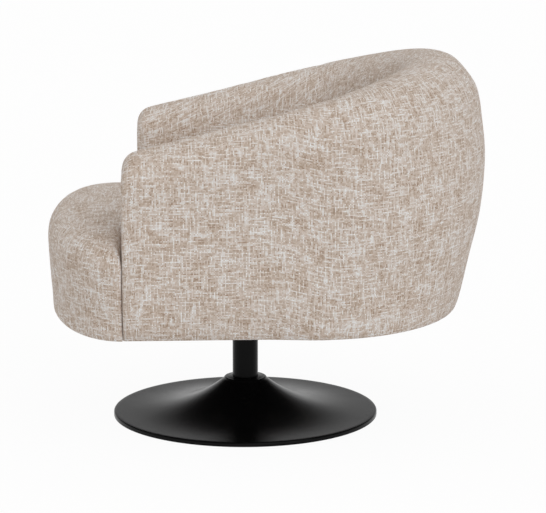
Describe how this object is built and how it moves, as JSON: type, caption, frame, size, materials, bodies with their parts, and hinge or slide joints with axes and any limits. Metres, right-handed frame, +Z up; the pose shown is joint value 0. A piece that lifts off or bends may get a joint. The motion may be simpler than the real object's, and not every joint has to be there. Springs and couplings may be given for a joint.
{
  "type": "swivel armchair",
  "caption": "Low upholstered tub armchair with wrap-round arms and back, a full-width T-shaped seat block and a black trumpet-shaped disc base that it swivels on.",
  "frame": {"origin": "on the floor, on the swivel axis", "axes": "+Z up, the chair faces -Y, the sitter's left is +X"},
  "size_m": [0.7594, 0.8473, 0.7215],
  "materials": {
    "beige_tweed": "matte",
    "upholstery_foam": "matte",
    "bent_plywood": "satin",
    "frame_timber": "matte",
    "black_cambric": "matte",
    "satin_black_steel": "satin",
    "bright_steel": "satin",
    "natural_nylon": "matte",
    "grey_felt": "matte"
  },
  "bodies": {
    "base": {"floor_pad": "grey_felt", "ballast_plate": "bright_steel", "base_cover": "satin_black_steel", "neck_collar": "satin_black_steel", "column_tube": "satin_black_steel", "column_flange": "satin_black_steel", "flange_bolt_1": "bright_steel", "flange_bolt_2": "bright_steel", "flange_bolt_3": "bright_steel", "flange_bolt_4": "bright_steel", "lower_bush": "natural_nylon", "upper_bush": "natural_nylon", "thrust_race_lower": "bright_steel", "ball_cage": "natural_nylon", "ball_1": "bright_steel", "ball_2": "bright_steel", "ball_3": "bright_steel", "ball_4": "bright_steel", "ball_5": "bright_steel", "ball_6": "bright_steel", "ball_7": "bright_steel", "ball_8": "bright_steel"},
    "seat": {"thrust_race_upper": "bright_steel", "spindle": "bright_steel", "retaining_washer": "bright_steel", "circlip": "bright_steel", "swivel_plate": "satin_black_steel", "plate_bolt_1": "bright_steel", "plate_bolt_2": "bright_steel", "plate_bolt_3": "bright_steel", "plate_bolt_4": "bright_steel", "tee_nut_1": "bright_steel", "tee_nut_2": "bright_steel", "tee_nut_3": "bright_steel", "tee_nut_4": "bright_steel", "cross_rail_left": "frame_timber", "cross_rail_right": "frame_timber", "front_rail": "frame_timber", "spring_rail": "frame_timber", "side_rail_left": "frame_timber", "side_rail_right": "frame_timber", "back_rail": "frame_timber", "gusset_left": "frame_timber", "gusset_right": "frame_timber", "seat_spring_1": "bright_steel", "seat_spring_2": "bright_steel", "seat_spring_3": "bright_steel", "seat_spring_4": "bright_steel", "tub_shell": "bent_plywood", "arm_foam_left": "upholstery_foam", "arm_foam_right": "upholstery_foam", "back_foam": "upholstery_foam", "seat_foam": "upholstery_foam", "front_pad": "upholstery_foam", "tub_cover": "beige_tweed", "seat_cover": "beige_tweed", "dust_cover": "black_cambric"}
  },
  "joints": [
    {"name": "swivel", "type": "hinge", "parent": "base", "child": "seat", "pos_m": [0, 0, 0.2201], "axis": [0, 0, 1], "continuous": true}
  ]
}
